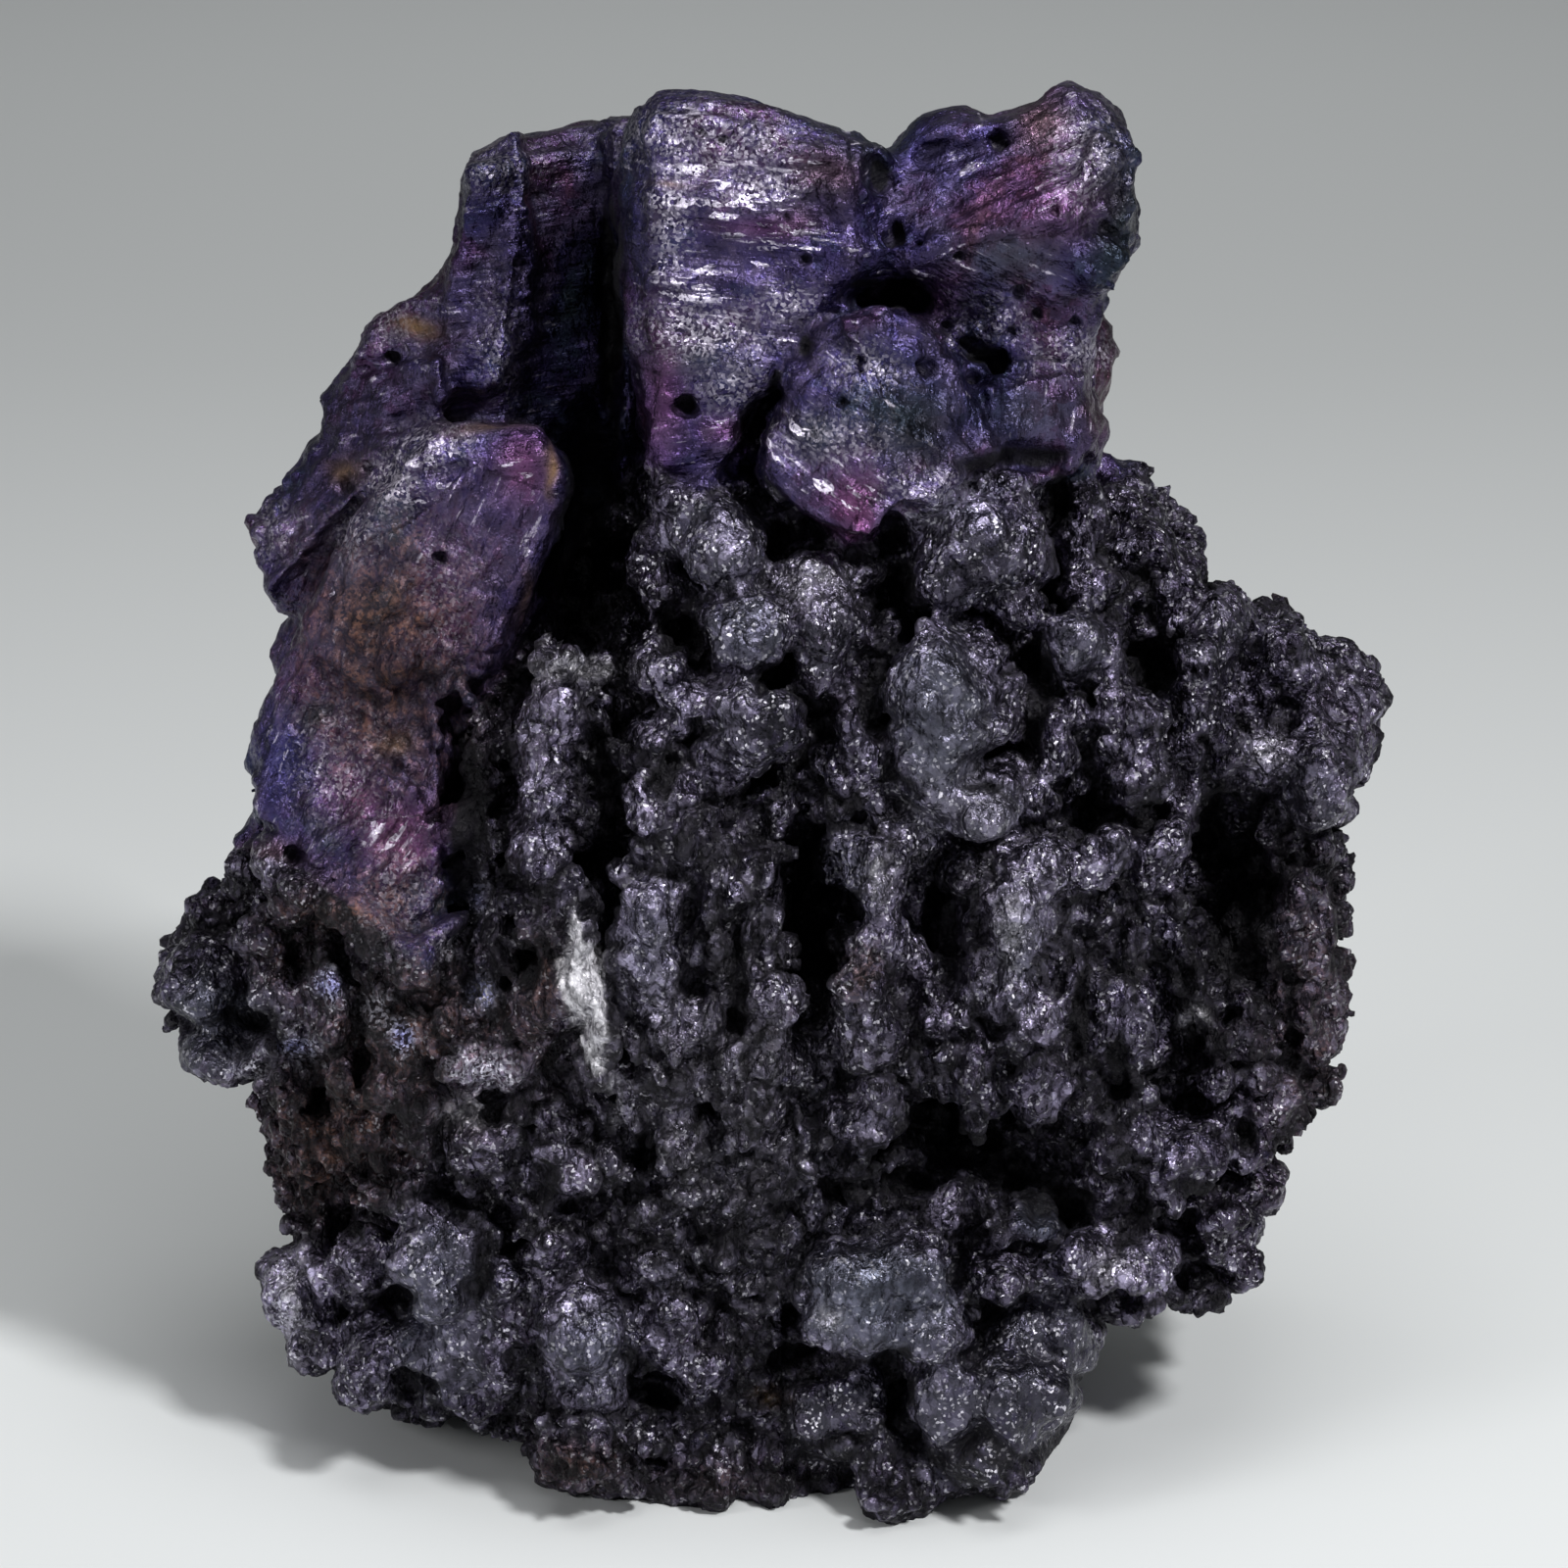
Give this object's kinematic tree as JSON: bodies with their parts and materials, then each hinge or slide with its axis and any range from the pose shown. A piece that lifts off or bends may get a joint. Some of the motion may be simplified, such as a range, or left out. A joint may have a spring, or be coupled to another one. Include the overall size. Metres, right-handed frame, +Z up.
{
  "type": "chalcocite cluster",
  "caption": "Chalcocite mineral specimen: tall tarnished tabular crystals over a dark ribbed and pitted crust, resting on a small flat spot.",
  "frame": {"origin": "middle of the cluster's box, on the flat spot that it rests on", "axes": "+Z up, the longest way; +X to the right and -Y towards the viewer when looking at the crust and the crystals' flat faces"},
  "size_m": [0.0428, 0.0244, 0.0486],
  "materials": {
    "tarnished_chalcocite": "dark lead-grey metallic crust with fine glints; violet, blue and magenta tarnish on the upper crystals"
  },
  "bodies": {
    "root": {"chalcocite_cluster": "tarnished_chalcocite"}
  },
  "joints": []
}
